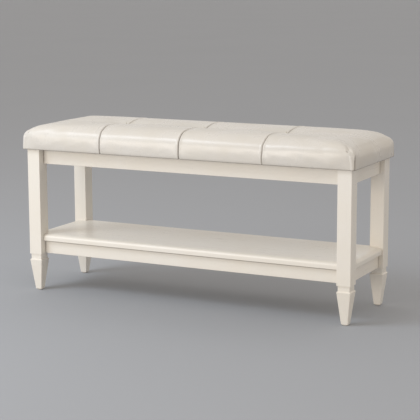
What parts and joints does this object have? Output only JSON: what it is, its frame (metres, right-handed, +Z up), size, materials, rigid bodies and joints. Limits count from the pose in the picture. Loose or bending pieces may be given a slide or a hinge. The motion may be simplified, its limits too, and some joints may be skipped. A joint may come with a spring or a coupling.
{
  "type": "piano bench",
  "caption": "Upholstered bench seat with cross seams on four tapered-foot legs joined by aprons, low rails and a moulded shelf.",
  "frame": {"origin": "on the floor under the middle of the bench", "axes": "+Z up, +X along the length to the viewer's right, front at -Y"},
  "size_m": [1.078, 0.336, 0.5203],
  "materials": {
    "paint": "satin ivory paint",
    "leather": "soft ivory leather",
    "raw_wood": "unfinished beech",
    "plywood": "unfinished plywood",
    "foam": "polyurethane foam",
    "cambric": "black cambric",
    "nylon": "off-white nylon",
    "steel": "yellow zinc plate",
    "thread": "waxed tufting twine"
  },
  "bodies": {
    "root": {"apron_back": "paint", "apron_front": "paint", "apron_left": "paint", "apron_right": "paint", "block_screw_back_left_a": "steel", "block_screw_back_left_b": "steel", "block_screw_back_right_a": "steel", "block_screw_back_right_b": "steel", "block_screw_front_left_a": "steel", "block_screw_front_left_b": "steel", "block_screw_front_right_a": "steel", "block_screw_front_right_b": "steel", "cleat_screw_back_left": "steel", "cleat_screw_back_right": "steel", "cleat_screw_front_left": "steel", "cleat_screw_front_right": "steel", "corner_block_back_left": "raw_wood", "corner_block_back_right": "raw_wood", "corner_block_front_left": "raw_wood", "corner_block_front_right": "raw_wood", "cross_rail_screw_left": "steel", "cross_rail_screw_right": "steel", "dust_cover": "cambric", "glide_back_left": "nylon", "glide_back_right": "nylon", "glide_front_left": "nylon", "glide_front_right": "nylon", "leg_back_left": "paint", "leg_back_right": "paint", "leg_front_left": "paint", "leg_front_right": "paint", "lower_rail_back": "paint", "lower_rail_front": "paint", "lower_rail_left": "paint", "lower_rail_right": "paint", "seat_board": "plywood", "seat_cover": "leather", "seat_cross_rail_left": "raw_wood", "seat_cross_rail_right": "raw_wood", "seat_foam": "foam", "seat_screw_back_left": "steel", "seat_screw_back_right": "steel", "seat_screw_front_left": "steel", "seat_screw_front_right": "steel", "shelf_cleat_back": "raw_wood", "shelf_cleat_front": "raw_wood", "shelf_panel": "paint", "shelf_screw_back_left": "steel", "shelf_screw_back_right": "steel", "shelf_screw_front_left": "steel", "shelf_screw_front_right": "steel", "tuft_cord_1": "thread", "tuft_cord_2": "thread", "tuft_cord_3": "thread", "tuft_washer_1": "steel", "tuft_washer_2": "steel", "tuft_washer_3": "steel"}
  },
  "joints": []
}
